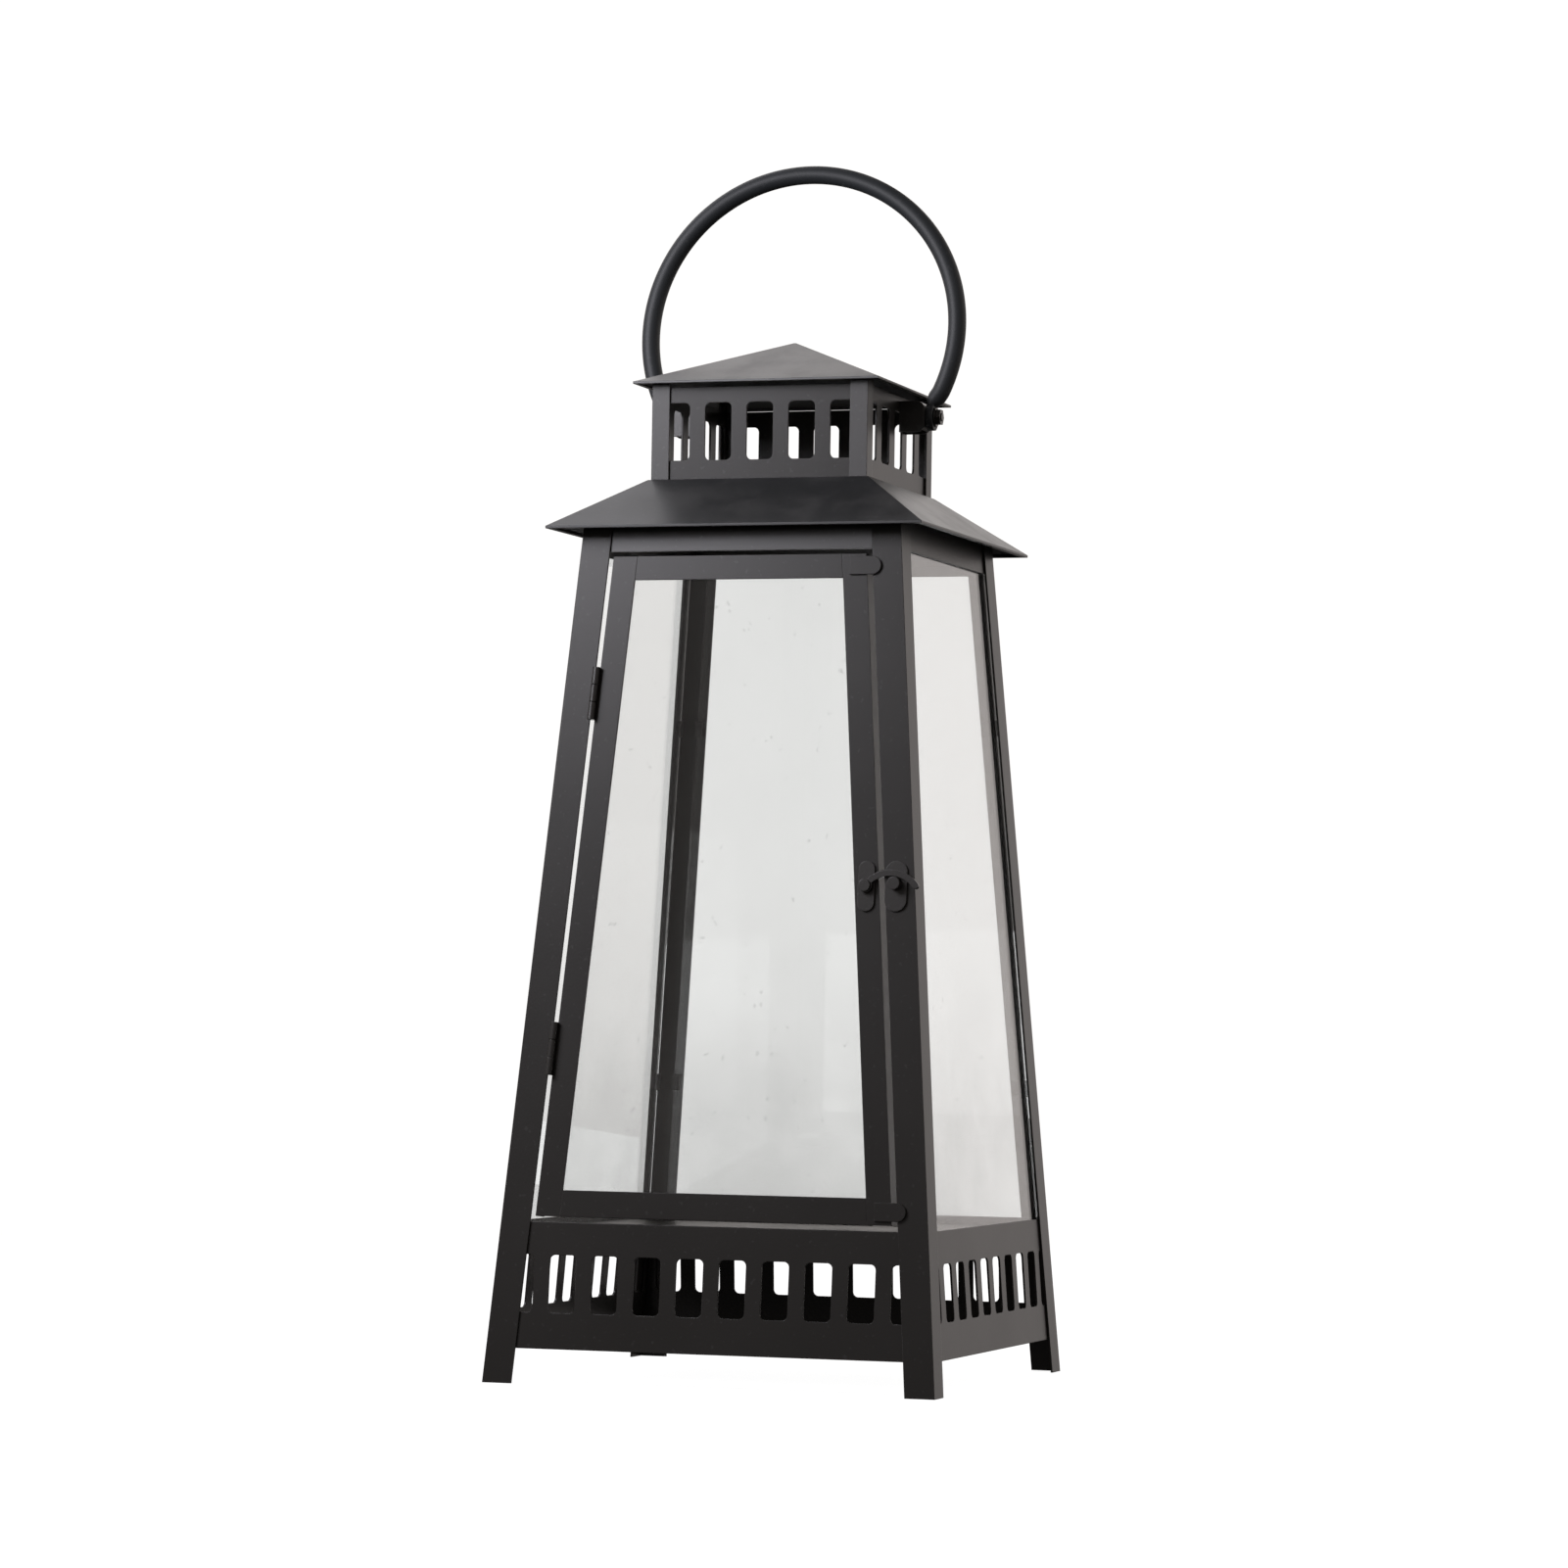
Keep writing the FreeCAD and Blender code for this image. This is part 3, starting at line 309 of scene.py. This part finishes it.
def ring_handle_tree():
    """Path by rule: a ring from its top to both bends, an inward bend, and a straight flat end."""
    group = bpy.data.node_groups.new("ring_handle", "GeometryNodeTree")
    tree = Tree(group)
    for name in RING_SIZES:
        group.interface.new_socket(name, in_out="INPUT", socket_type="NodeSocketFloat")
    group.interface.new_socket("Coat", in_out="INPUT", socket_type="NodeSocketMaterial")
    group.interface.new_socket("Handle", in_out="OUTPUT", socket_type="NodeSocketGeometry")
    entry = tree.node("NodeGroupInput").outputs
    radius, rise, rod, spread, eye, thick, bore, start, end, lean, back, height = (
        Level(tree, entry[name]) for name in RING_SIZES)

    line = tree.node("GeometryNodeCurvePrimitiveLine")
    points = tree.node("GeometryNodeResampleCurve", {}, {"Curve": line.outputs[0], "Count": PATH_POINTS})
    along = tree.level("GeometryNodeSplineParameter", {}, {}, "Factor") * 2 - 1
    reach = along.only("ABSOLUTE")
    ring_part = (reach / RING_SHARE).at_most(1.0)
    tail_part = ((reach - RING_SHARE) / (1 - RING_SHARE)).at_least(0.0) * QUARTER_TURN
    ring_end = ((rise - start) / radius).only("ARCSINE")
    angle = ring_part * (ring_end + QUARTER_TURN)
    drop = tail_part.only("SINE") * (start + eye * EYE_REACH)
    # Cubic across the bend: it leaves along the ring and arrives upright
    bend = (drop / (start - end)).at_most(1.0)
    swing_in = radius * ring_end.only("COSINE") - spread
    leaving = bend * (1 - bend) ** 2 * (start - end) * ring_end.only("TANGENT")
    inward = leaving + bend ** 2 * (3 - bend * 2) * swing_in
    side = (radius * angle.only("SINE") - inward) * along.only("SIGN")
    level = rise + radius * angle.only("COSINE") - drop
    spot = tree.node("ShaderNodeCombineXYZ", {}, {"X": side, "Z": level})
    path = tree.node("GeometryNodeSetPosition", {}, {"Geometry": points.outputs[0],
                                                     "Position": spot.outputs[0]})

    # Each point of the tube keeps the place of the rod's middle, from which it is pressed and spread
    middle = tree.node("GeometryNodeInputPosition")
    kept = tree.node("GeometryNodeStoreNamedAttribute", {"data_type": "FLOAT_VECTOR", "domain": "POINT"},
                     {"Geometry": path.outputs[0], "Name": "rod_middle", "Value": middle.outputs[0]})
    profile = tree.node("GeometryNodeCurvePrimitiveCircle", {}, {"Resolution": ROD_SIDES, "Radius": rod})
    tube = tree.node("GeometryNodeCurveToMesh", {}, {"Curve": kept.outputs[0], "Fill Caps": True,
                                                     "Profile Curve": profile.outputs[0]})
    stored = tree.node("GeometryNodeInputNamedAttribute", {"data_type": "FLOAT_VECTOR"},
                       {"Name": "rod_middle"})
    from_middle = tree.node("ShaderNodeVectorMath", {"operation": "SUBTRACT"},
                            {0: tree.node("GeometryNodeInputPosition").outputs[0], 1: stored.outputs[0]})
    offset = tree.node("ShaderNodeSeparateXYZ", {}, {0: from_middle.outputs[0]}).outputs
    up = tree.level("ShaderNodeSeparateXYZ", {}, {0: stored.outputs[0]}, "Z")
    flat = tree.ramp(up, start, end)
    half = rod + (thick / 2 - rod) * flat
    pressed = Level(tree, offset["X"]).at_most(half).at_least(half * -1)
    disc = (eye ** 2 - up ** 2).at_least(0.0).only("SQRT")
    spread_out = disc.at_least(rod * tree.ramp(up, rod * NECK_LOW, rod * NECK_HIGH)) / rod
    shaped = tree.node("ShaderNodeCombineXYZ", {}, {"X": pressed, "Y": Level(tree, offset["Y"]) * spread_out,
                                                    "Z": offset["Z"]})
    place = tree.node("ShaderNodeVectorMath", {"operation": "ADD"},
                      {0: stored.outputs[0], 1: shaped.outputs[0]})
    solid = tree.node("GeometryNodeSetPosition", {}, {"Geometry": tube.outputs[0],
                                                      "Position": place.outputs[0]})

    pin = tree.node("GeometryNodeMeshCylinder", {}, {"Vertices": ROD_SIDES, "Radius": bore,
                                                     "Depth": spread * BORE_REACH})
    across = tree.node("GeometryNodeTransform", {}, {"Geometry": pin.outputs[0],
                                                     "Rotation": (0.0, QUARTER_TURN, 0.0)})
    bored = tree.node("GeometryNodeMeshBoolean", {"operation": "DIFFERENCE"},
                      {"Mesh 1": solid.outputs[0], "Mesh 2": across.outputs[0]})
    turn = tree.node("ShaderNodeCombineXYZ", {}, {"X": lean * -1})
    shift = tree.node("ShaderNodeCombineXYZ", {}, {"Y": back, "Z": height})
    stood = tree.node("GeometryNodeTransform", {}, {"Geometry": bored.outputs[0], "Rotation": turn.outputs[0],
                                                    "Translation": shift.outputs[0]})
    fold = tree.node("GeometryNodeInputMeshEdgeAngle").outputs["Unsigned Angle"]
    gentle = tree.node("ShaderNodeMath", {"operation": "LESS_THAN"}, {0: fold, 1: SHARP_TURN})
    smooth = tree.node("GeometryNodeSetShadeSmooth", {"domain": "EDGE"},
                       {"Geometry": stood.outputs[0], "Shade Smooth": gentle.outputs[0]})
    real = tree.node("GeometryNodeRealizeInstances", {}, {"Geometry": smooth.outputs[0]})
    coated = tree.node("GeometryNodeSetMaterial", {}, {"Geometry": real.outputs[0],
                                                       "Material": entry["Coat"]})
    tree.node("NodeGroupOutput", {}, {"Handle": coated.outputs[0]})
    return group


handle = bpy.data.objects.new("ring_handle", bpy.data.meshes.new("ring_handle"))
bpy.context.scene.collection.objects.link(handle)
modifier = handle.modifiers.new("ring_handle", "NODES")
modifier.node_group = ring_handle_tree()
values = {**RING_SIZES, "Coat": finishes["handle_coat"]}
for socket in modifier.node_group.interface.items_tree:
    if socket.in_out == "INPUT":
        modifier[socket.identifier] = values[socket.name]
evaluated = handle.evaluated_get(bpy.context.evaluated_depsgraph_get())
handle_mesh = bpy.data.meshes.new_from_object(evaluated)
handle.modifiers.clear()
handle.data = handle_mesh
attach(handle, "handle")
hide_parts("handle")

FLOOR_RADIUS = 1.5
FLOOR_SIDES = 96
floor_mesh = bpy.data.meshes.new("floor")
floor_disc = bmesh.new()
bmesh.ops.create_circle(floor_disc, cap_ends=True, radius=FLOOR_RADIUS, segments=FLOOR_SIDES)
floor_disc.to_mesh(floor_mesh)
floor_disc.free()
floor = bpy.data.objects.new("floor", floor_mesh)
floor.data.materials.append(floor_white("pale_floor"))
bpy.context.scene.collection.objects.link(floor)
floor.visible_diffuse = False
floor.visible_glossy = False

# Camera at the photograph's viewpoint
VIEW_TURN = math.radians(18.022)
VIEW_RISE = math.radians(-2.499)
VIEW_ROLL = math.radians(0.898)
VIEW_DISTANCE = 2.54269
VIEW_TARGET = Vector((0.0, 0.0, 0.2858))
VIEW_SIDE = -0.002121
FOCAL_PIXELS = 5360.95
PICTURE_PIXELS = 1601
SENSOR = 36.0

view_back = Vector((math.sin(VIEW_TURN) * math.cos(VIEW_RISE), -math.cos(VIEW_TURN) * math.cos(VIEW_RISE),
                    math.sin(VIEW_RISE)))
level_right = Vector((math.cos(VIEW_TURN), math.sin(VIEW_TURN), 0.0))
level_up = view_back.cross(level_right)
view_right = math.cos(VIEW_ROLL) * level_right + math.sin(VIEW_ROLL) * level_up
view_up = -math.sin(VIEW_ROLL) * level_right + math.cos(VIEW_ROLL) * level_up
camera_data = bpy.data.cameras.new("camera")
camera_data.sensor_width = SENSOR
camera_data.lens = FOCAL_PIXELS / PICTURE_PIXELS * SENSOR
camera = bpy.data.objects.new("camera", camera_data)
facing = Matrix((view_right, view_up, view_back)).transposed().to_4x4()
stand = VIEW_TARGET + VIEW_SIDE * view_right + VIEW_DISTANCE * view_back
camera.matrix_world = Matrix.Translation(stand) @ facing
bpy.context.scene.collection.objects.link(camera)
bpy.context.scene.camera = camera


def softbox(name, spot, aim, width, height, power, tint):
    """Rectangular soft light aimed at a point."""
    data = bpy.data.lights.new(name, "AREA")
    data.shape = "RECTANGLE"
    data.size, data.size_y = width, height
    data.energy = power
    data.color = tint
    lamp = bpy.data.objects.new(name, data)
    lamp.location = spot
    lamp.rotation_euler = (Vector(aim) - Vector(spot)).to_track_quat("-Z", "Y").to_euler()
    lamp.visible_camera = False
    lamp.visible_transmission = False
    bpy.context.scene.collection.objects.link(lamp)
    return lamp


COOL_WHITE = (0.94, 0.93, 1.0)
PALE_BLUE_WHITE = (0.97, 0.96, 1.0)
WARM_WHITE = (1.0, 0.98, 0.97)
PANES = ("door_glass", "glass_right", "glass_back", "glass_left")
UPPER_FRONT = ("cap_roof", "header_front")

key = softbox("front_left_softbox", spot=(-0.49, -0.69, 0.74), aim=(0.0, 0.0, 0.42), width=0.48, height=0.4,
              power=7.6, tint=COOL_WHITE)
# The panes are shielded from the key light, so that no window shows in them
shielded = bpy.data.collections.new("shielded_panes")
for name in PANES:
    shielded.objects.link(frame["nodes"][name])
key.light_linking.receiver_collection = shielded
for pane in shielded.collection_objects:
    pane.light_linking.link_state = "EXCLUDE"
# A weak light for the cap, the chimney's corners and the front header alone
upper = softbox("upper_front_softbox", spot=(-0.3, -0.82, 0.56), aim=(0.0, -0.05, 0.45), width=0.4,
                height=0.25, power=1.1, tint=COOL_WHITE)
lit = bpy.data.collections.new("upper_front")
for name, node in frame["nodes"].items():
    if name.startswith("chimney_corner") or name in UPPER_FRONT:
        lit.objects.link(node)
upper.light_linking.receiver_collection = lit
softbox("roof_softbox", spot=(-0.62, 0.4, 1.25), aim=(-0.05, 0.0, 0.42), width=0.8, height=0.6, power=2.4,
        tint=PALE_BLUE_WHITE)
softbox("back_softbox", spot=(-0.35, 1.4, 1.35), aim=(0.0, 0.0, 0.45), width=2.0, height=0.7, power=4.2,
        tint=WARM_WHITE)

# White surround for what is seen directly or through the glass, and a dimmer room for the light it gives
SEEN_STRENGTH = 1.03
SEEN_TINT = (1.0, 0.99, 0.98, 1.0)
ROOM_LEAST = 0.05
ROOM_TINT = (1.0, 0.93, 0.9, 1.0)
world = bpy.data.worlds.new("studio")
bpy.context.scene.world = world
room = Finish(world, "ShaderNodeOutputWorld")
outward = room.node("ShaderNodeTexCoord").outputs["Generated"]
heading = room.node("ShaderNodeSeparateXYZ", {}, {0: outward}).outputs
behind = room.ramp(heading["Y"], low=-0.3, high=0.5, to_low=0.2, to_high=0.83)
over_floor = room.ramp(heading["Z"], low=-0.25, high=0.05)
under_ceiling = room.ramp(heading["Z"], low=0.5, high=0.85, to_low=1.0, to_high=0.15)
ray = room.node("ShaderNodeLightPath").outputs
direct = (Level(room, ray["Is Camera Ray"]) + Level(room, ray["Is Transmission Ray"])).at_most(1.0)
bounced = (Level(room, ray["Diffuse Depth"]) + Level(room, ray["Glossy Depth"])).at_most(1.0)
seen = direct * (1 - bounced)
glow = seen * SEEN_STRENGTH + (1 - seen) * (behind * (over_floor * under_ceiling) + ROOM_LEAST)
tint = room.blend(seen, ROOM_TINT, SEEN_TINT)
room.close(room.node("ShaderNodeBackground", {}, {"Color": tint, "Strength": glow}))
bpy.context.scene.view_settings.view_transform = "Standard"
